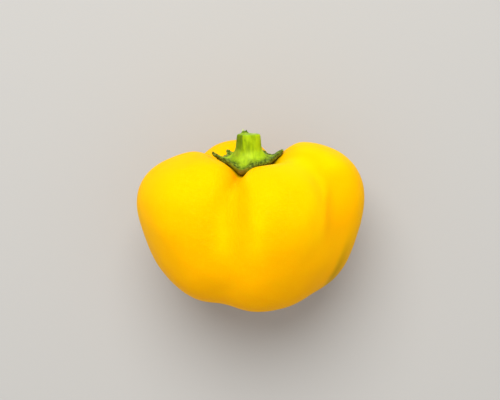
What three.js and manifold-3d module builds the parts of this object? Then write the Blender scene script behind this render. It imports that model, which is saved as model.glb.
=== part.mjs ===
// A yellow bell pepper as picked, lying on its side: the lobed fruit, and the green stem with its calyx.
//
// Millimetres. Each piece is first shaped in the pepper's own frame: +Y runs from the blossom end
// along the stem, +Z is the side that looks up as the pepper lies, +X is to the right seen from there.
// An azimuth is an angle round the stem, in degrees, 0 on the upper side and positive to the right.
// The pepper is then tipped so that its stem end is raised, and set down at height 0 with +Z up.

import * as THREE from 'three';
import { mergeVertices } from 'three/addons/utils/BufferGeometryUtils.js';
import Module from 'manifold-3d';

const wasm = await Module();
wasm.setup();

// How the pepper lies
const STEM_END_RAISED = 17.5;   // degrees between the stem and the level ground
const REST_FLAT_DEPTH = 1.3;    // how much of the lowest bulge is pressed flat where it rests

// The fruit, from its blossom end at height 0 to its shoulders
const FRUIT_HEIGHT = 69;
const FRUIT_CORE_HEIGHT = 36;   // a point well inside, from which the whole skin is in sight
const FRUIT_SEGMENTS = { round: 96, along: 56 };
const SKIN_HALVINGS = 40;       // how finely the skin is looked for along a line

// Each lobe is an egg from its tip to its shoulder, both given as [distance from the axis, height]
const LOBES = [
  { azimuth: -64, shoulder: [28.9, 68.6], tip: [12.4, 10.2], halfDepth: 23.5, halfWidth: 27, taper: 0.08 },
  { azimuth: 28, shoulder: [25.5, 67.5], tip: [9, 6.5], halfDepth: 22.5, halfWidth: 23, taper: 0.06 },
  { azimuth: 96, shoulder: [29.3, 70.4], tip: [15.6, 10], halfDepth: 24, halfWidth: 24.5, taper: 0.06 },
  { azimuth: 193, shoulder: [24, 68.2], tip: [12, 9], halfDepth: 22, halfWidth: 23, taper: 0.04 },
];
const LOBE_FULLNESS = 2.5;                          // 2 is an ellipsoid, more is squarer
const LOBE_TAPER_LIMIT = 1.3;                       // in half lengths, past which the taper is held
const LOBE_BLEND = { atStem: 1.6, below: 5 };       // how softly one lobe runs into the next
const LOBE_BLEND_HEIGHTS = { sharp: 66, soft: 26 };

// The bowl round the stem, and the neck in its middle that the stem grows from, an upright egg
const BOWL = { depth: 3.2, radius: 17.5, flatness: 4, from: 40, to: 60 };
const NECK = { azimuth: 0, shoulder: [0, 65.5], tip: [0, 15], halfDepth: 10, halfWidth: 10, taper: 0 };

// The creases between lobes, each value given at the stem end, half way down and at the tip
const CREASES = [
  { azimuth: [-13.5, -6, -34], depth: [4, 0.7, 0.5], halfWidth: [3.4, 8, 6] },
  { azimuth: [66, 40, 68], depth: [1, 0.45, 0.3], halfWidth: [5, 7, 8] },
  { azimuth: [150, 146, 140], depth: [5.5, 1, 0.8], halfWidth: [9, 7, 7] },
  { azimuth: [-134, -130, -130], depth: [3, 0.8, 0.8], halfWidth: [9, 7, 7] },
];
const CREASE_START = { from: 6, to: 20 };           // distances from the axis over which creases set in

// The stem, cut a little aslant, on a calyx that follows the bowl of the fruit
const STEM_TOP_HEIGHT = 76.4;                       // at the middle of the cut
const STEM_TOP_RADIUS = 4.8;
const STEM_FOOT_RADIUS = 5.2;
const STEM_RIDGES = { waves: 5, phase: 0.7, share: 0.045 };
const STEM_BULGES = { waves: 3, phase: 2, share: 0.022 };
const CUT_SLANT = 0.16;                             // rise of the cut towards the upper side
const CUT_RIM_BEVEL = 0.4;
const CUT_HOLLOW = 0.5;                             // the cut face dries in a little at its middle
const FLARE_RISE = 6.4;                             // how far the stem's foot climbs from the calyx
const FLARE_REACH = 2.8;
const CALYX_RADIUS = 10.9;
const CALYX_THICKNESS = 1;
const CALYX_EDGE_THICKNESS = 1.2;
const CALYX_CLEARANCE = 0.4;                        // between the calyx and the fruit
const CALYX_BRIDGE = { height: 62.6, rise: 1.7 };   // its lowest underside, at the axis and up to its edge
const CALYX_SAG = { azimuth: -14, halfWidth: 17, depth: 2.6 };  // where it hangs down into the upper crease
const STEM_SEGMENTS = 96;

// Where the outline has its points: shares of the way out to the calyx's edge, up the stem, and over the cut
const UNDERSIDE_SHARES = [0.25, 0.5, 0.7, 0.85, 0.95, 1];
const TOP_SHARES = [1, 0.93, 0.8, 0.62, 0.45, 0.3, 0.18, 0.08];
const WALL_SHARES = [0, 0.33, 0.66, 1];
const CUT_SHARES = [1, 0.6];

// The sepal tips: how far each reaches, how wide it is in degrees, and how far it curls up
const SEPALS = [
  { azimuth: -80, reach: 14.9, halfWidth: 10, lift: 0.4 },
  { azimuth: -128, reach: 11.6, halfWidth: 8, lift: 1.5 },
  { azimuth: -42, reach: 12.2, halfWidth: 14, lift: 0.1 },
  { azimuth: -14, reach: 12.8, halfWidth: 11, lift: 0 },
  { azimuth: 64, reach: 11.3, halfWidth: 20, lift: 1.1 },
  { azimuth: 99, reach: 14.5, halfWidth: 16, lift: 0.1 },
  { azimuth: 155, reach: 12.6, halfWidth: 14, lift: 0.2 },
  { azimuth: -165, reach: 13, halfWidth: 14, lift: 0.4 },
];
const SEPAL_BLUNTNESS = 3;                          // a high power squares off the tips
const SEPAL_CURL_POWER = 3;                         // a high power keeps the curl near the tips
const CALYX_RAGGED = [
  { waves: 13, size: 0.22, phase: 0.6 },
  { waves: 23, size: 0.2, phase: 2.1 },
];

const UP = new THREE.Vector3(0, 1, 0);
const TINY = 1e-6;                                  // keeps a radius or a sum off zero

// A value that runs smoothly from 0 to 1 as t does
function ease(t) {
  const clamped = THREE.MathUtils.clamp(t, 0, 1);
  return clamped * clamped * (3 - 2 * clamped);
}

// The nearest way round from one azimuth to another, in radians
function turnBetween(azimuth, otherDegrees) {
  const turn = azimuth - THREE.MathUtils.degToRad(otherDegrees);
  return Math.atan2(Math.sin(turn), Math.cos(turn));
}

// A value given at the stem end, half way down and at the tip, read at a height of the fruit
function alongFruit([atStem, atMiddle, atTip], height) {
  const t = THREE.MathUtils.clamp(height / FRUIT_HEIGHT, 0, 1);
  if (t > 0.5) {
    return THREE.MathUtils.lerp(atMiddle, atStem, ease(2 * t - 1));
  }
  return THREE.MathUtils.lerp(atTip, atMiddle, ease(2 * t));
}

// The lobe's own axes: along it, outwards from the stem and round the stem
function placeLobe(lobe) {
  const outward = new THREE.Vector3(0, 0, 1);
  outward.applyAxisAngle(UP, THREE.MathUtils.degToRad(lobe.azimuth));
  const across = new THREE.Vector3().crossVectors(UP, outward);
  const shoulder = outward.clone().multiplyScalar(lobe.shoulder[0]).addScaledVector(UP, lobe.shoulder[1]);
  const tip = outward.clone().multiplyScalar(lobe.tip[0]).addScaledVector(UP, lobe.tip[1]);
  const along = shoulder.clone().sub(tip);
  const halfLength = along.length() / 2;
  along.normalize();
  const out = new THREE.Vector3().crossVectors(across, along);
  if (out.dot(outward) < 0) {
    out.negate();
  }
  const centre = shoulder.clone().add(tip).multiplyScalar(0.5);
  return { ...lobe, centre, along, out, across, halfLength };
}

const placedLobes = [...LOBES, NECK].map(placeLobe);

// Roughly how far a point lies outside one lobe, negative inside it
function lobeDistance(lobe, point) {
  const arm = point.clone().sub(lobe.centre);
  const along = arm.dot(lobe.along) / lobe.halfLength;
  const swell = 1 + lobe.taper * THREE.MathUtils.clamp(along, -LOBE_TAPER_LIMIT, LOBE_TAPER_LIMIT);
  const out = arm.dot(lobe.out) / (lobe.halfDepth * swell);
  const across = arm.dot(lobe.across) / (lobe.halfWidth * swell);
  const sum = [along, out, across].reduce((total, part) => total + Math.abs(part) ** LOBE_FULLNESS, TINY);
  return arm.length() * (1 - sum ** (-1 / LOBE_FULLNESS));
}

// Roughly how far a point lies outside the fruit: the lobes run together, less creases and bowl
function fruitDistance(point) {
  const { sharp, soft } = LOBE_BLEND_HEIGHTS;
  const softness = ease((sharp - point.y) / (sharp - soft));
  const blend = THREE.MathUtils.lerp(LOBE_BLEND.atStem, LOBE_BLEND.below, softness);
  const joined = placedLobes.reduce((sum, lobe) => sum + Math.exp(-lobeDistance(lobe, point) / blend), 0);
  let distance = -blend * Math.log(joined);
  const radius = Math.hypot(point.x, point.z);
  const azimuth = Math.atan2(point.x, point.z);
  const started = ease((radius - CREASE_START.from) / (CREASE_START.to - CREASE_START.from));
  for (const crease of CREASES) {
    const arc = turnBetween(azimuth, alongFruit(crease.azimuth, point.y)) * radius;
    const depth = alongFruit(crease.depth, point.y) * started;
    distance += depth * Math.exp(-((arc / alongFruit(crease.halfWidth, point.y)) ** 2));
  }
  const inBowl = ease((point.y - BOWL.from) / (BOWL.to - BOWL.from));
  distance += BOWL.depth * Math.exp(-((radius / BOWL.radius) ** BOWL.flatness)) * inBowl;
  return distance;
}

// Where a ray leaves the fruit, by halving the stretch between a point inside and one outside
function leavesFruit(inside, direction, reach) {
  let near = 0;
  let far = reach;
  for (let step = 0; step < SKIN_HALVINGS; step += 1) {
    const middle = (near + far) / 2;
    if (fruitDistance(inside.clone().addScaledVector(direction, middle)) < 0) {
      near = middle;
    } else {
      far = middle;
    }
  }
  return inside.clone().addScaledVector(direction, near);
}

// The height of the calyx's underside: it follows the bowl's skin, and bridges the creases
function seatHeight(radius, azimuth) {
  const inside = new THREE.Vector3(radius * Math.sin(azimuth), FRUIT_CORE_HEIGHT, radius * Math.cos(azimuth));
  const skin = leavesFruit(inside, UP, FRUIT_HEIGHT).y + CALYX_CLEARANCE;
  const turn = THREE.MathUtils.radToDeg(turnBetween(azimuth, CALYX_SAG.azimuth)) / CALYX_SAG.halfWidth;
  const rise = CALYX_BRIDGE.rise - CALYX_SAG.depth * Math.exp(-(turn ** 2));
  const bridge = CALYX_BRIDGE.height + rise * (radius / CALYX_RADIUS) ** 2;
  return Math.max(skin, bridge);
}

// A ball whose every point is moved straight out from the core to the skin
function makeFruit() {
  const geometry = new THREE.SphereGeometry(1, FRUIT_SEGMENTS.round, FRUIT_SEGMENTS.along);
  const core = new THREE.Vector3(0, FRUIT_CORE_HEIGHT, 0);
  const points = geometry.attributes.position;
  for (let index = 0; index < points.count; index += 1) {
    const direction = new THREE.Vector3().fromBufferAttribute(points, index).normalize();
    const skin = leavesFruit(core, direction, 2 * FRUIT_HEIGHT);
    points.setXYZ(index, skin.x, skin.y, skin.z);
  }
  return geometry;
}

// How far the calyx reaches at an azimuth: a ragged disc that each sepal draws out or in
function calyxReach(azimuth) {
  let reach = CALYX_RADIUS;
  for (const sepal of SEPALS) {
    const turn = THREE.MathUtils.radToDeg(turnBetween(azimuth, sepal.azimuth)) / sepal.halfWidth;
    reach += (sepal.reach - CALYX_RADIUS) * Math.exp(-(Math.abs(turn) ** SEPAL_BLUNTNESS));
  }
  for (const ragged of CALYX_RAGGED) {
    reach += ragged.size * Math.sin(ragged.waves * azimuth + ragged.phase);
  }
  return reach;
}

// How far the sepals curl away from the fruit, rising towards their tips
function calyxLift(azimuth, share) {
  let lift = 0;
  for (const sepal of SEPALS) {
    const turn = THREE.MathUtils.radToDeg(turnBetween(azimuth, sepal.azimuth)) / sepal.halfWidth;
    lift += sepal.lift * Math.exp(-(Math.abs(turn) ** SEPAL_BLUNTNESS));
  }
  return lift * share ** SEPAL_CURL_POWER;
}

// The stem's radius at an azimuth, with the low ridges that run down it
function ridged(radius, azimuth) {
  let share = 1;
  for (const relief of [STEM_RIDGES, STEM_BULGES]) {
    share += relief.share * Math.cos(relief.waves * azimuth + relief.phase);
  }
  return radius * share;
}

// One station of the stem and calyx's outline at an azimuth, as [radius, height]
function calyxUnderside(share, azimuth) {
  const radius = Math.max(share * calyxReach(azimuth), TINY);
  return [radius, seatHeight(radius, azimuth) + calyxLift(azimuth, share)];
}

function calyxTop(share, azimuth) {
  const foot = ridged(STEM_FOOT_RADIUS, azimuth);
  const radius = THREE.MathUtils.lerp(foot, calyxReach(azimuth), share);
  const thickness = THREE.MathUtils.lerp(CALYX_THICKNESS, CALYX_EDGE_THICKNESS, share);
  const flare = FLARE_RISE * Math.exp(-(radius - foot) / FLARE_REACH);
  const seat = seatHeight(radius, azimuth);
  return [radius, seat + thickness + flare + calyxLift(azimuth, radius / calyxReach(azimuth))];
}

// The height of the slanted cut over a point of the plan
function cutHeight(radius, azimuth) {
  return STEM_TOP_HEIGHT + CUT_SLANT * radius * Math.cos(azimuth);
}

function stemWall(share, azimuth) {
  const foot = calyxTop(0, azimuth);
  const radius = ridged(THREE.MathUtils.lerp(STEM_FOOT_RADIUS, STEM_TOP_RADIUS, share), azimuth);
  const top = cutHeight(radius, azimuth) - CUT_RIM_BEVEL;
  return [radius, THREE.MathUtils.lerp(foot[1], top, share)];
}

function cutFace(share, azimuth) {
  const radius = ridged(STEM_TOP_RADIUS - CUT_RIM_BEVEL, azimuth) * share;
  return [radius, cutHeight(radius, azimuth) - CUT_HOLLOW * (1 - share * share)];
}

// The outline from under the calyx, out to its edge, back to the foot, up the stem and over the cut
const STEM_STATIONS = [
  ...UNDERSIDE_SHARES.map((share) => (azimuth) => calyxUnderside(share, azimuth)),
  ...TOP_SHARES.map((share) => (azimuth) => calyxTop(share, azimuth)),
  ...WALL_SHARES.map((share) => (azimuth) => stemWall(share, azimuth)),
  ...CUT_SHARES.map((share) => (azimuth) => cutFace(share, azimuth)),
];

// A lathe turned from the stations, whose every point is then moved to its own azimuth's outline
function makeStem() {
  const profile = [new THREE.Vector2(0, 0)];
  STEM_STATIONS.forEach((_, index) => profile.push(new THREE.Vector2(1, index + 1)));
  profile.push(new THREE.Vector2(0, STEM_STATIONS.length + 1));
  const geometry = new THREE.LatheGeometry(profile, STEM_SEGMENTS);
  const points = geometry.attributes.position;
  for (let index = 0; index < points.count; index += 1) {
    const station = index % profile.length;
    const segment = Math.floor(index / profile.length) % STEM_SEGMENTS;
    const azimuth = (segment / STEM_SEGMENTS) * 2 * Math.PI;
    if (station === 0) {
      points.setXYZ(index, 0, calyxUnderside(0, 0)[1], 0);
    } else if (station === profile.length - 1) {
      points.setXYZ(index, 0, STEM_TOP_HEIGHT - CUT_HOLLOW, 0);
    } else {
      const [radius, height] = STEM_STATIONS[station - 1](azimuth);
      points.setXYZ(index, radius * Math.sin(azimuth), height, radius * Math.cos(azimuth));
    }
  }
  return geometry;
}

function toManifold(geometry) {
  const bare = geometry.clone();
  bare.deleteAttribute('normal');
  bare.deleteAttribute('uv');
  const merged = mergeVertices(bare);
  const vertProperties = new Float32Array(merged.attributes.position.array);
  const triVerts = new Uint32Array(merged.index.array);
  return new wasm.Manifold(new wasm.Mesh({ numProp: 3, vertProperties, triVerts }));
}

function toGeometry(manifold) {
  const mesh = manifold.getMesh();
  const geometry = new THREE.BufferGeometry();
  geometry.setAttribute('position', new THREE.BufferAttribute(mesh.vertProperties, 3));
  geometry.setIndex(new THREE.BufferAttribute(mesh.triVerts, 1));
  geometry.computeVertexNormals();
  return geometry;
}

// Both pieces are tipped together and lowered until the fruit's lowest bulge is below the ground
const tilt = THREE.MathUtils.degToRad(STEM_END_RAISED);
const fruitGeometry = makeFruit().rotateX(tilt);
const stemGeometry = makeStem().rotateX(tilt);
fruitGeometry.computeBoundingBox();
const drop = -fruitGeometry.boundingBox.min.z - REST_FLAT_DEPTH;
fruitGeometry.translate(0, 0, drop);
stemGeometry.translate(0, 0, drop);

// What is below the ground is taken away, which leaves the flat that the fruit rests on
const groundSize = 3 * FRUIT_HEIGHT;
const ground = new THREE.BoxGeometry(groundSize, groundSize, groundSize).translate(0, 0, -groundSize / 2);
const fruitSolid = toManifold(fruitGeometry).subtract(toManifold(ground));
const stemSolid = toManifold(stemGeometry);

const flesh = new THREE.MeshStandardMaterial({ color: '#fdc800', roughness: 0.35, metalness: 0 });
const green = new THREE.MeshStandardMaterial({ color: '#8fae12', roughness: 0.6, metalness: 0 });

const fruit = new THREE.Mesh(toGeometry(fruitSolid), flesh);
fruit.name = 'fruit';
const stem = new THREE.Mesh(toGeometry(stemSolid), green);
stem.name = 'stem_and_calyx';

const pepper = new THREE.Group();
pepper.add(fruit, stem);

// The origin is under the middle of the whole pepper, at the level it rests on
const box = new THREE.Box3().setFromObject(pepper);
const middle = box.getCenter(new THREE.Vector3());
pepper.position.set(-middle.x, -middle.y, 0);

export default pepper;
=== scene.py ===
# A yellow bell pepper lying on its side, seen from straight above with its stem away from the viewer.
import math

import bpy
import numpy as np
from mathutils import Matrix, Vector, noise


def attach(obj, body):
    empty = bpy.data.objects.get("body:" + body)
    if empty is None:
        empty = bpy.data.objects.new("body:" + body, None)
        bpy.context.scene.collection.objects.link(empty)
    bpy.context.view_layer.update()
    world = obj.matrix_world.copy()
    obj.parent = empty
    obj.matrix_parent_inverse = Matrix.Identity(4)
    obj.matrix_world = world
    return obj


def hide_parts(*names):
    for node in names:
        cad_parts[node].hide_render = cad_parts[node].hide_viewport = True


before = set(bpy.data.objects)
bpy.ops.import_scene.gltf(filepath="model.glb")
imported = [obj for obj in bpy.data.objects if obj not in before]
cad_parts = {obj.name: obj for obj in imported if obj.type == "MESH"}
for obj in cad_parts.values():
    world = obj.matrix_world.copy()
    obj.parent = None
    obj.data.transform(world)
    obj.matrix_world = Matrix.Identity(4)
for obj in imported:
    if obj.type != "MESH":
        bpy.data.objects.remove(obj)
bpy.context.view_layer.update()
bpy.ops.object.select_all(action="DESELECT")


# Where it lies
# A wide sheet of pale matt card, laid flat, with its edges out of sight, so that only the pepper's own shade
# marks it.
def linear(hex_colour):
    """A Blender colour from an sRGB hex one."""
    parts = [int(hex_colour[i : i + 2], 16) / 255 for i in (1, 3, 5)]
    return [p / 12.92 if p <= 0.04045 else ((p + 0.055) / 1.055) ** 2.4 for p in parts] + [1.0]


def new_material(name):
    material = bpy.data.materials.new(name)
    material.use_nodes = True
    material.node_tree.nodes.clear()
    return material


def add(material, kind, inputs=None, **settings):
    """Adds a node. Its inputs are given by name or number, as a value or as the socket to read."""
    made = material.node_tree.nodes.new(kind)
    for name, value in settings.items():
        setattr(made, name, value)
    for name, value in (inputs or {}).items():
        if isinstance(value, bpy.types.NodeSocket):
            material.node_tree.links.new(value, made.inputs[name])
        else:
            made.inputs[name].default_value = value
    return made


# Matt card: a dull paper face with next to no gloss
matt_card = new_material("matt_card")
card = add(
    matt_card,
    "ShaderNodeBsdfPrincipled",
    {"Base Color": linear("#b0aeaa"), "Roughness": 0.9, "Specular IOR Level": 0.1},
)
add(matt_card, "ShaderNodeOutputMaterial", {"Surface": card.outputs["BSDF"]})
FLOOR_SIZE = 8.0  # metres
bpy.ops.mesh.primitive_plane_add(size=FLOOR_SIZE, location=(0, 0, 0))
floor = bpy.context.object
floor.name = "floor"
floor.data.materials.append(matt_card)


# The fruit
# One hollow berry whose four lobes swelled round the bowl that its stem grows from, resting on one of them.
# Its skin is a thin waxy film over flesh that light enters, so shade on it turns amber and never grey.
BLOSSOM_END_HEIGHT = 4.9  # mm, where the pepper's own heights have this end of its axis
SAME_CORNER = 0.00001  # metres
PAIRING_ANGLE = math.radians(60)


def joined_copy(node, name):
    """A copy of a CAD node with its loose triangles merged and paired up again."""
    copy = bpy.data.objects.new(name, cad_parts[node].data.copy())
    bpy.context.collection.objects.link(copy)
    bpy.ops.object.select_all(action="DESELECT")
    bpy.context.view_layer.objects.active = copy
    copy.select_set(True)
    copy.data.materials.clear()
    bpy.ops.object.mode_set(mode="EDIT")
    bpy.ops.mesh.select_all(action="SELECT")
    bpy.ops.mesh.remove_doubles(threshold=SAME_CORNER)
    bpy.ops.mesh.tris_convert_to_quads(face_threshold=PAIRING_ANGLE, shape_threshold=PAIRING_ANGLE)
    bpy.ops.object.mode_set(mode="OBJECT")
    return copy


def subdivide(piece, levels):
    rounding = piece.modifiers.new("rounding", "SUBSURF")
    rounding.levels = levels
    rounding.render_levels = levels
    bpy.context.view_layer.objects.active = piece
    bpy.ops.object.modifier_apply(modifier=rounding.name)
    piece.data.shade_smooth()


def corners(mesh, what="co"):
    """The places of a mesh's corners, or their normals, one row each."""
    flat = np.zeros(len(mesh.vertices) * 3, np.float32)
    mesh.vertices.foreach_get(what, flat)
    return flat.reshape(-1, 3).astype(float)


def move_to(mesh, places):
    mesh.vertices.foreach_set("co", places.astype(np.float32).ravel())


def neighbours(mesh):
    """The two corners at the ends of each edge."""
    ends = np.zeros(len(mesh.edges) * 2, np.int32)
    mesh.edges.foreach_get("vertices", ends)
    return ends.reshape(-1, 2)


def axis_ends(mesh):
    """The two ends of a turned piece's axis: the only corners that a whole ring of faces meets in."""
    meeting = np.bincount(neighbours(mesh).ravel())
    ends = corners(mesh)[np.argsort(meeting)[-2:]]
    return ends[np.argsort(ends[:, 1])]


def averaged(mesh, values, rounds):
    """Values at the corners, each blended with its neighbours' time after time."""
    first, second = neighbours(mesh).T
    count = np.bincount(np.concatenate([first, second]))[:, None]
    for _ in range(rounds):
        total = np.zeros_like(values)
        np.add.at(total, first, values[second])
        np.add.at(total, second, values[first])
        values = total / count
    return values


def store(mesh, name, values):
    """Keeps one value for each corner, for a material to read."""
    mesh.attributes.new(name, "FLOAT", "POINT").data.foreach_set("value", values.astype(np.float32))


def bell(distance, half_width):
    return np.exp(-((distance / half_width) ** 2))


def two_sided(distance, half_width_past, half_width_before):
    """A bell that is wider on one side."""
    return np.where(distance > 0, bell(distance, half_width_past), bell(distance, half_width_before))


def ramp(values, low, high):
    """From 0 at the low value smoothly up to 1 at the high one."""
    t = np.clip((values - low) / (high - low), 0, 1)
    return t * t * (3 - 2 * t)


def band(values, rising, falling):
    """1 in the middle of a range, with a soft start and end, each given by its two values."""
    return ramp(values, *rising) * (1 - ramp(values, *falling))


def cloudy(places, size, seed):
    """Smooth noise from -1 to 1 at places in mm, whose bumps are about that size across."""
    offset = Vector((seed, 2 * seed, -seed))
    return np.array([noise.noise(Vector(place) / size + offset) for place in places])


SUBDIVISIONS = 2
fruit = joined_copy("fruit", "fruit_skin")
blossom_end, bowl_middle = axis_ends(fruit.data)
stem_line = (bowl_middle - blossom_end) / np.linalg.norm(bowl_middle - blossom_end)
own_axes = np.array([(1, 0, 0), stem_line, np.cross((1, 0, 0), stem_line)])


def own_places(mesh):
    """Corners in the pepper's own frame in mm: across, height from the blossom end, and up."""
    return 1000 * (corners(mesh) - blossom_end) @ own_axes.T + (0, BLOSSOM_END_HEIGHT, 0)


def round_the_axis(mesh):
    """The same places, then their distance from the pepper's axis and their bearing round it in degrees."""
    across, height, up = own_places(mesh).T
    return across, height, up, np.hypot(across, up), np.degrees(np.arctan2(across, up))


def arc_from(course, height, radius, azimuth):
    """How far round the fruit each corner lies from a line, in mm. A course is heights and their azimuths."""
    return np.radians(azimuth - np.interp(height, *course)) * radius


# How far each part of the skin lies in a hollow: how little it would sink if the whole were evened out
HOLLOW_ROUNDS = 70
HOLLOW_SINKING = (-0.5, 3.0)  # mm
evened = averaged(fruit.data, corners(fruit.data), HOLLOW_ROUNDS)
sinking = 1000 * np.einsum("ij,ij->i", corners(fruit.data) - evened, corners(fruit.data, "normal"))
# kept for the painted shade laid into the hollows below
store(fruit.data, "hollow", 1 - ramp(sinking, *HOLLOW_SINKING))

# The valley between the two lobes on the right is a soft one, so its bottom is evened out
RIGHT_VALLEY = ((40, 50, 54, 58, 62, 65, 69), (46, 46, 49, 56, 61, 64, 70))
RIGHT_VALLEY_HALF_WIDTH = 8
RIGHT_VALLEY_HEIGHTS = ((28, 38), (60, 66))
SOFTENING_ROUNDS = 6
across, height, up, radius, azimuth = round_the_axis(fruit.data)
softness = bell(arc_from(RIGHT_VALLEY, height, radius, azimuth), RIGHT_VALLEY_HALF_WIDTH)
softness = softness * band(height, *RIGHT_VALLEY_HEIGHTS) * (up > 0)
softened = averaged(fruit.data, corners(fruit.data), SOFTENING_ROUNDS) - corners(fruit.data)
move_to(fruit.data, corners(fruit.data) + softened * softness[:, None])
subdivide(fruit, SUBDIVISIONS)
across, height, up, radius, azimuth = round_the_axis(fruit.data)
places = own_places(fruit.data)
on_top = up > 0

# The upper crease is a sharp fold below the bowl, where one lobe leans over the other, and then a soft
# valley between two low ridges. Heights are from the blossom end, and all are in mm.
FOLD_AZIMUTH = -12.8  # degrees
FOLD_HEIGHTS = (57.5, 61.5)
FOLD_RADII = (9, 13)
FOLD_SIDES = (0.8, 2.2)
FOLD_TINT_SIDES = (0.7, 2.2)
FOLD_DEPTH = 0.9
RIDGES = ((-10, 3.2), (3.4, 3.4))  # where each lies across, and its half width
RIDGE_HEIGHTS = ((30, 42), (50, 58))
RIDGE_RISE = 0.35
VALLEY_COURSE = ((48, 58), (-4.8, -1.8))  # heights, and where it lies across at them
VALLEY_HEIGHTS = ((30, 42), (60, 65))
VALLEY_HALF_WIDTH = 3.2
VALLEY_DEPTH = 0.3
fold_arc = np.radians(azimuth - FOLD_AZIMUTH) * radius
in_fold = ramp(height, *FOLD_HEIGHTS) * ramp(radius, *FOLD_RADII) * on_top
ridge = sum(bell(across - middle, half_width) for middle, half_width in RIDGES)
ridge = ridge * band(height, *RIDGE_HEIGHTS) * on_top
valley = bell(across - np.interp(height, *VALLEY_COURSE), VALLEY_HALF_WIDTH)
valley = valley * band(height, *VALLEY_HEIGHTS) * on_top

# The skin waves a little all over, and is slightly fuller along the bottom of the right valley
WAVES = ((0.38, 17, 3.7), (0.1, 6.5, 11.2))  # rise and size in mm, and seed
FILL_ARC = (1, 3)  # middle and half width
FILL_HEIGHTS = ((42, 48), (58, 64))
FILL_RISE = 0.2
right_arc = arc_from(RIGHT_VALLEY, height, radius, azimuth)
outward = (
    sum(rise * cloudy(places, size, seed) for rise, size, seed in WAVES)
    - FOLD_DEPTH * in_fold * two_sided(fold_arc, *FOLD_SIDES)
    + RIDGE_RISE * ridge
    - VALLEY_DEPTH * valley
    + FILL_RISE * bell(right_arc - FILL_ARC[0], FILL_ARC[1]) * band(height, *FILL_HEIGHTS)
)
moved = corners(fruit.data) + corners(fruit.data, "normal") * outward[:, None] / 1000
moved[:, 2] = np.maximum(moved[:, 2], 0)
move_to(fruit.data, moved)

# How strongly each tint of the skin shows where. Heights, radii and arcs are in mm, as above.
GREEN_STRIPE = ((14, 20, 28, 38, 46), (70, 65, 65, 68, 70))
stripe_arc = arc_from(GREEN_STRIPE, height, radius, azimuth)
# Painted shade, laid in as amber: past the right valley and along its bottom, and in a band across the left
# lobe
past_right_valley = band(right_arc, (-2, 3), (12, 26)) * (1 - ramp(height, 60, 67))
along_right_valley = 0.6 * bell(right_arc, 2.6) * ramp(height, 58, 63)
across_left_lobe = 0.5 * bell(across + 27, 17) * bell(height - 52, 4.5)
painted_amber_shade = np.maximum(np.maximum(past_right_valley, along_right_valley), across_left_lobe)
upper_half = ramp(height, 34, 46) * on_top
skin_tints = {
    # painted shade in the fold, painted highlights on the ridges, and painted shade in the valley
    "fold": in_fold * two_sided(fold_arc, *FOLD_TINT_SIDES),
    "ridge": ridge,
    "valley": valley,
    # a stripe low on the right that ripened last and dull yellow by it, partly painted reflection and shade
    "unripe_and_painted_reflection": band(height, (9, 16), (20, 40)) * two_sided(stripe_arc, 4, 2.4),
    "olive_and_painted_reflection": band(height, (9, 16), (24, 46)) * two_sided(stripe_arc, 12, 2),
    # a painted highlight: the brightest yellow, on the right lobes by the bowl
    "shoulder_highlight": ramp(height, 60, 69) * ramp(radius, 16, 24) * ramp(across, 0, 24),
    # painted shade on the upper half, in the places above
    "painted_amber_shade": upper_half * painted_amber_shade,
    # painted light: a paler band on the near side of the right valley
    "painted_light_band": upper_half * band(right_arc, (-26, -8), (-3, 2)),
    # deeper orange towards the blossom end, partly ripening and partly painted shade
    "ripening_and_painted_shade": 1 - ramp(height, 8, 62),
    "calyx_shade": (1 - ramp(radius, 11, 17)) * ramp(height, 50, 58),
}
for name, values in skin_tints.items():
    store(fruit.data, name, values)
fruit.data.update()

# Pepper skin: a smooth waxy cuticle, which gives a faint satin gloss, over deep yellow flesh that light
# enters. It is amber towards the blossom end, partly from ripening and partly as painted shade, amber as
# painted shade in hollows, and dull and in painted shade by the calyx, with painted highlights on the lit
# lobes.
skin = new_material("pepper_skin")
skin_place = add(skin, "ShaderNodeTexCoord").outputs["Object"]


def read(material, name):
    return add(material, "ShaderNodeAttribute", attribute_name=name).outputs["Fac"]


def blended(material, share, under, over):
    """Two colours, each a hex value or a socket, mixed by a share."""
    colours = [linear(colour) if isinstance(colour, str) else colour for colour in (under, over)]
    return add(
        material, "ShaderNodeMix", {0: share, 6: colours[0], 7: colours[1]}, data_type="RGBA"
    ).outputs[2]


def scaled(material, value, low, high, to_low=0.0, to_high=1.0):
    inputs = {"Value": value, "From Min": low, "From Max": high, "To Min": to_low, "To Max": to_high}
    return add(material, "ShaderNodeMapRange", inputs).outputs["Result"]


def mottle(material, place, size_mm, detail=2.0):
    """Cloudy noise whose patches are about that size."""
    inputs = {"Vector": place, "Scale": 1000 / size_mm, "Detail": detail}
    return add(material, "ShaderNodeTexNoise", inputs).outputs["Fac"]


def tinted(material, colour, tints):
    """A colour with tints laid over it in turn, each with its attribute, its share at most and its colour."""
    for name, share, tint in tints:
        colour = blended(material, scaled(material, read(material, name), 0, 1, 0, share), colour, tint)
    return colour


# Deeper orange towards the blossom end: partly ripening, partly painted shade
yellow = tinted(skin, "#fbb900", [("ripening_and_painted_shade", 0.6, "#fea600")])
# Painted shade: amber in the hollows and creases
yellow = blended(skin, scaled(skin, read(skin, "hollow"), 0.35, 1, 0, 0.5), yellow, "#f0a000")
yellow = blended(skin, scaled(skin, mottle(skin, skin_place, 11), 0.35, 0.7, 0, 0.3), yellow, "#f5aa00")
yellow = blended(skin, scaled(skin, mottle(skin, skin_place, 1.6), 0.5, 0.75, 0, 0.1), yellow, "#ffcc20")
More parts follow.
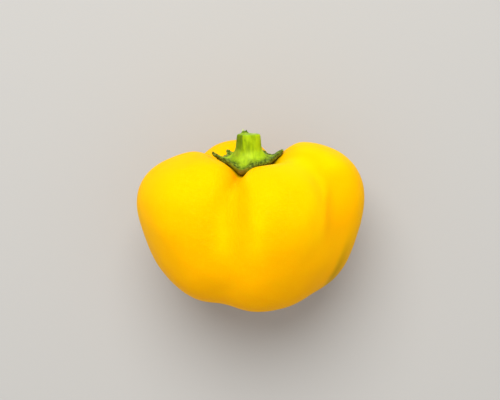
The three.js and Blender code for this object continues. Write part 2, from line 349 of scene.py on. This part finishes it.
# Painted highlights (shoulder, ridge, near side of the right valley) and painted shade (valley, amber, fold,
# calyx)
yellow = tinted(
    skin,
    yellow,
    [
        ("shoulder_highlight", 0.5, "#ffcc00"),
        ("ridge", 0.3, "#ffd400"),
        ("valley", 0.3, "#f0a000"),
        ("painted_amber_shade", 0.45, "#f0a000"),
        ("painted_light_band", 0.35, "#ffd000"),
        # the low right stripe: partly the skin's own, partly painted reflection and shade
        ("olive_and_painted_reflection", 0.45, "#cda000"),
        ("unripe_and_painted_reflection", 0.5, "#a88000"),
        ("fold", 0.4, "#ee9c00"),
        ("calyx_shade", 0.75, "#ccac00"),
    ],
)
fine = add(
    skin,
    "ShaderNodeBump",
    {"Height": mottle(skin, skin_place, 0.9, 3.0), "Strength": 0.15, "Distance": 0.0002},
)
flesh = add(
    skin,
    "ShaderNodeBsdfPrincipled",
    {
        "Base Color": yellow,
        "Roughness": scaled(skin, mottle(skin, skin_place, 5), 0.3, 0.7, 0.4, 0.5),
        "Normal": fine.outputs["Normal"],
        "Specular IOR Level": 0.012,
        "Specular Tint": linear("#ffd840"),
        "Subsurface Weight": 0.2,
        "Subsurface Radius": (1.0, 0.4, 0.03),
        "Subsurface Scale": 0.003,
    },
)
add(skin, "ShaderNodeOutputMaterial", {"Surface": flesh.outputs["BSDF"]})
fruit.data.materials.append(skin)
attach(fruit, "root")
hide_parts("fruit")


# The stem and calyx
# The stalk that held the pepper to its plant, cut off short, on the ragged green cup that held its flower.
# Woody ribs run down the stalk, and the cup's rim has dried, torn and curled up at its tips.
CUT_MIDDLE_HEIGHT = 76.4  # mm, before the pith dried in
CUT_SLANT = 0.16
CUT_RIM_DEPTHS = (0.45, 0.8)  # mm
CUT_RADII = (4.4, 4.8)  # mm
FIBRE_HEIGHT = 74  # mm, which only the cut end is above
CALYX_TOP = 73  # mm, which no tip of the calyx reaches
STALK_FOOT = (68.5, 71)  # mm, where the calyx passes into the stalk
RIM_SHARE = (0.55, 0.98)
HANGING_AZIMUTH = -14  # degrees, of the tip that hangs into the upper crease
HANGING_HALF_WIDTH = 22  # degrees
KNOB = (-14.9, 69.3, 2.8)  # the blunt end of the left tip, in the pepper's own frame
KNOB_HALF_WIDTH = 1.4
RIB_AZIMUTH = -26  # degrees, of the stalk's one strong rib
stem = joined_copy("stem_and_calyx", "stem_with_calyx")
subdivide(stem, SUBDIVISIONS)
across, height, up, radius, azimuth = round_the_axis(stem.data)
places = own_places(stem.data)
on_top = up > 0

# How far out towards the calyx's ragged edge each corner lies
BEARINGS = 180
bearing = ((azimuth + 180) / 360 * BEARINGS).astype(int) % BEARINGS
edge = np.zeros(BEARINGS)
np.maximum.at(edge, bearing, radius)
share = radius / edge[bearing]
below_top = height < CALYX_TOP
on_stalk = ramp(height, *STALK_FOOT)
below_cut = CUT_MIDDLE_HEIGHT + CUT_SLANT * up - height
on_cut = (1 - ramp(below_cut, *CUT_RIM_DEPTHS)) * (1 - ramp(radius, *CUT_RADII))
facing_along = corners(stem.data, "normal") @ stem_line
# the calyx's lower edge, which faces the fruit: painted shade is laid along it
lower_edge = ramp(share, 0.8, 0.95) * (1 - ramp(facing_along, -0.4, 0.25)) * below_top
in_crease = bell(azimuth - HANGING_AZIMUTH, HANGING_HALF_WIDTH)
hanging = in_crease * ramp(radius, 10.9, 11.7) * below_top
rim = ramp(share, *RIM_SHARE) * below_top * (1 - hanging)
knob = bell(np.linalg.norm(places - KNOB, axis=1), KNOB_HALF_WIDTH)

# Fibres run along the stalk beside one rib and its groove, and the calyx is lumpy, most of all at its rim
fibres = cloudy(places / (1, 9, 1), 0.85, 5.1)
lumps = cloudy(places, 1.5, 8.3)
grains = cloudy(places, 0.7, 2.2)
rib_arc = np.radians(azimuth - RIB_AZIMUTH) * radius
stalk_relief = 0.13 * fibres + 0.24 * bell(rib_arc, 0.8) - 0.2 * bell(rib_arc + 1.5, 1.1)
calyx_relief = (0.12 + 0.3 * rim) * (lumps + 0.6 * grains)
outward = on_stalk * (1 - on_cut) * stalk_relief + (1 - on_stalk) * calyx_relief + 0.5 * knob
moved = corners(stem.data) + corners(stem.data, "normal") * outward[:, None] / 1000

# Torn fibres stand up from the back of the cut, and the pith stands a little proud of its middle
pale_tear = bell(across + 2.4, 0.75) * bell(up + 3.9, 0.9) * (height > FIBRE_HEIGHT)
dark_tear = bell(across + 0.9, 0.7) * bell(up + 4.0, 0.8) * (height > FIBRE_HEIGHT)
pith = bell(up + 0.8, 1.4) * band(across, (-2.0, -0.6), (2.4, 3.4)) * on_cut
shreds = cloudy(places, 0.45, 6.6)
rise = (1.4 + 0.7 * shreds) * pale_tear + (1.2 + 0.9 * shreds) * dark_tear
rise += 0.55 * pith + 0.12 * on_cut * grains
moved += (rise / 1000)[:, None] * stem_line
move_to(stem.data, moved)

# How strongly each tint of the stem shows where, in mm and degrees
stem_tints = {
    "rim": rim,
    "cut": on_cut,
    "hanging": hanging,
    # the dried brown of the hanging tip, and painted shade along the calyx's lower edge
    "dried_and_painted_shade": np.maximum(0.8 * lower_edge, in_crease * ramp(radius, 10.9, 11.9)),
    "speckled": rim * ramp(abs(across), 6, 9),
    "pith": np.maximum(pith, ramp(pale_tear, 0.6, 0.95)),
    "tear": np.maximum(ramp(dark_tear, 0.1, 0.5), 0.8 * ramp(pale_tear, 0.05, 0.3)),
    # a pale bloom in the middle of the flare, and a bruise to the left of it
    "bloom": bell(across - 0.5, 2.8) * bell(height - 68.6, 2.2) * on_top,
    "brown": bell(across + 5.0, 1.6) * bell(height - 68.6, 1.6) * on_top,
    # the stalk's right side, and its flatter, darker left one
    "bright_side": on_stalk * ramp(across, 1.8, 3.6) * on_top,
    "facet": on_stalk * band(azimuth, (-100, -60), (-46, -20)),
}
for name, values in stem_tints.items():
    store(stem.data, name, values)
stem.data.update()

# Green stalk: living plant skin over woody ribs, dull and streaked along its length, with a calyx whose rim
# is dark, speckled and rough where it has dried
AXIS_TILT = math.radians(17.5)
STREAK_STRETCH = 0.12
green = new_material("pepper_stalk")
stalk_place = add(green, "ShaderNodeTexCoord").outputs["Object"]
along_stalk = add(
    green,
    "ShaderNodeMapping",
    {"Vector": stalk_place, "Rotation": (-AXIS_TILT, 0, 0), "Scale": (1, STREAK_STRETCH, 1)},
).outputs["Vector"]
streaks = mottle(green, along_stalk, 1.1, 3.0)
leaf = blended(green, scaled(green, streaks, 0.35, 0.65), "#789600", "#9bba00")
leaf = blended(green, scaled(green, mottle(green, stalk_place, 3.5), 0.45, 0.65, 0, 0.6), leaf, "#a6c60c")
leaf = tinted(
    green,
    leaf,
    [
        ("facet", 0.75, "#4f6400"),
        ("bloom", 0.45, "#bad628"),
        ("bright_side", 0.4, "#b8cc08"),
        ("brown", 0.55, "#7c7a1c"),
    ],
)
patches = scaled(green, mottle(green, stalk_place, 0.9, 4.0), 0.42, 0.6)
ragged = blended(green, patches, "#3c4c08", "#768c20")
leaf = blended(green, scaled(green, read(green, "rim"), 0, 0.7), leaf, ragged)
speckles = scaled(green, mottle(green, stalk_place, 1.3), 0.56, 0.66, 0, read(green, "speckled"))
leaf = blended(green, speckles, leaf, "#8a9c3c")
leaf = tinted(
    green,
    leaf,
    [
        ("hanging", 0.8, "#8e9204"),
        # dried brown at the tip, and painted shade along the lower edge
        ("dried_and_painted_shade", 0.85, "#5e4208"),
        ("cut", 0.8, "#88a822"),
        ("tear", 1, "#4a5c12"),
        ("pith", 1, "#c3d37a"),
    ],
)
rough_leaf = add(
    green,
    "ShaderNodeBump",
    {"Height": mottle(green, along_stalk, 0.6, 4.0), "Strength": 0.4, "Distance": 0.0003},
)
stalk = add(
    green,
    "ShaderNodeBsdfPrincipled",
    {
        "Base Color": leaf,
        "Roughness": 0.55,
        "Specular IOR Level": 0.12,
        "Normal": rough_leaf.outputs["Normal"],
        "Subsurface Weight": 0.12,
        "Subsurface Radius": (0.6, 1.0, 0.1),
        "Subsurface Scale": 0.001,
    },
)
add(green, "ShaderNodeOutputMaterial", {"Surface": stalk.outputs["BSDF"]})
stem.data.materials.append(green)
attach(stem, "root")
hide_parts("stem_and_calyx")


# The light and the camera
# A large soft disk of light beyond the stem end, even light all round, and a view from straight above.
KEY_PLACE = (-0.12, 0.58, 0.95)
KEY_AIM = (0, 0, 0.04)
KEY_SIZE = 0.9
KEY_POWER = 13.5
ROOM_STRENGTH = 0.7
CAMERA_PLACE = (-0.0005, 0.0093, 0.462)
LENS = 72.3
SENSOR = 36
key_lamp = bpy.data.lights.new("key_light", "AREA")
key_lamp.shape = "DISK"
key_lamp.size = KEY_SIZE
key_lamp.energy = KEY_POWER
key_light = bpy.data.objects.new("key_light", key_lamp)
bpy.context.collection.objects.link(key_light)
key_light.location = KEY_PLACE
key_light.rotation_euler = (Vector(KEY_AIM) - Vector(KEY_PLACE)).to_track_quat("-Z", "Y").to_euler()
key_light.visible_camera = False
world = bpy.data.worlds.new("studio")
bpy.context.scene.world = world
world.use_nodes = True
world.node_tree.nodes["Background"].inputs["Color"].default_value = (1, 1, 1, 1)
world.node_tree.nodes["Background"].inputs["Strength"].default_value = ROOM_STRENGTH

camera_data = bpy.data.cameras.new("camera")
camera_data.sensor_width = SENSOR
camera_data.lens = LENS
camera = bpy.data.objects.new("camera", camera_data)
bpy.context.collection.objects.link(camera)
camera.location = CAMERA_PLACE
bpy.context.scene.camera = camera
bpy.context.scene.view_settings.view_transform = "Standard"
